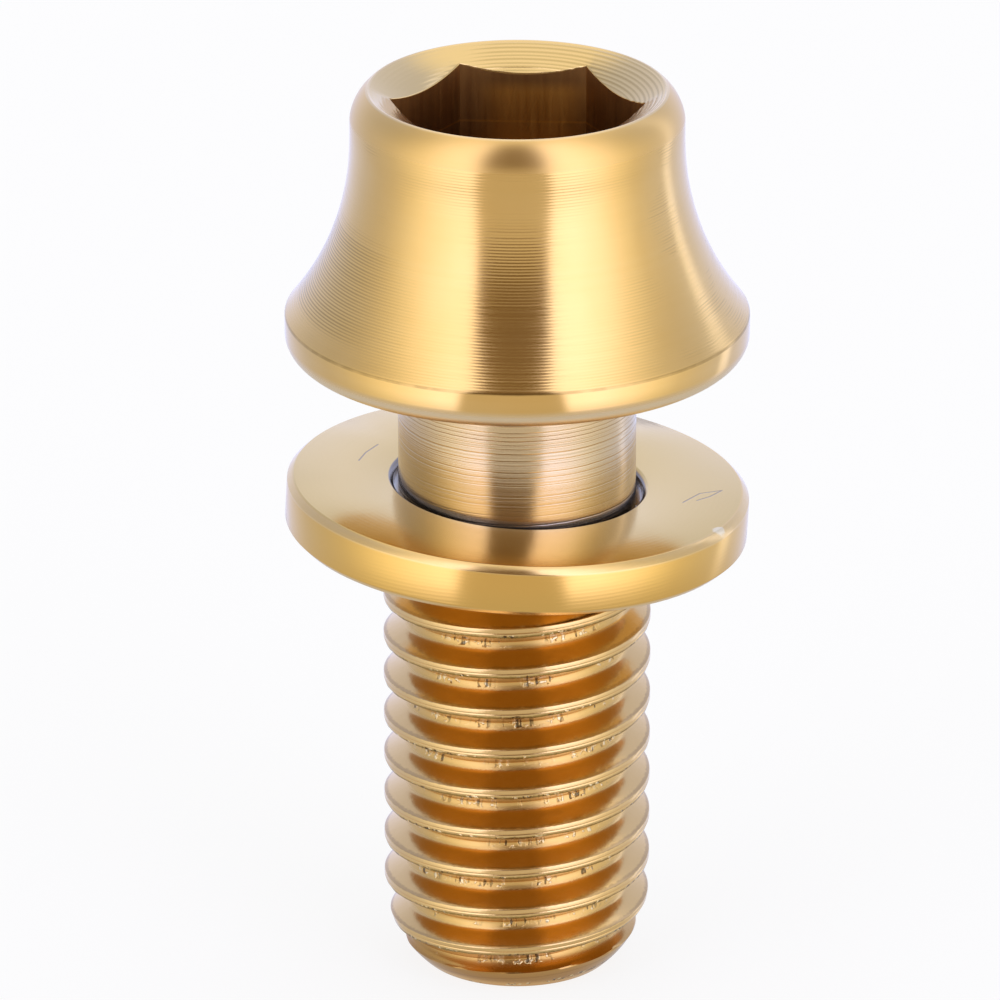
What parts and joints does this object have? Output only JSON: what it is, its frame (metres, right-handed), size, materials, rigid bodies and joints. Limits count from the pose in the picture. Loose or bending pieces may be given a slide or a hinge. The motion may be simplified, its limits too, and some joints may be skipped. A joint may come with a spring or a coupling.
{
  "type": "bottle cage bolt",
  "caption": "Gold flared-head bolt with a hexagon socket, a smooth neck, a rolled metric thread and a captive flat washer, for fixing a bottle cage to a frame.",
  "frame": {"origin": "centre of the flat tip, on which the bolt stands", "axes": "+Z along the bolt's axis from the tip to the head, +X towards the washer's low side"},
  "size_m": [0.0086, 0.0084, 0.017],
  "materials": {
    "bolt_gold": "turned and thread-rolled metal with a thin bright gold coating",
    "washer_gold": "turned metal with a thin bright gold coating, rubbed paler at the edges"
  },
  "bodies": {
    "bolt": {"bolt": "bolt_gold"},
    "washer": {"washer": "washer_gold"}
  },
  "joints": [
    {"name": "washer_slide", "type": "slide", "parent": "bolt", "child": "washer", "axis": [0, 0, 1], "range_m": [0, 0.0023]}
  ]
}
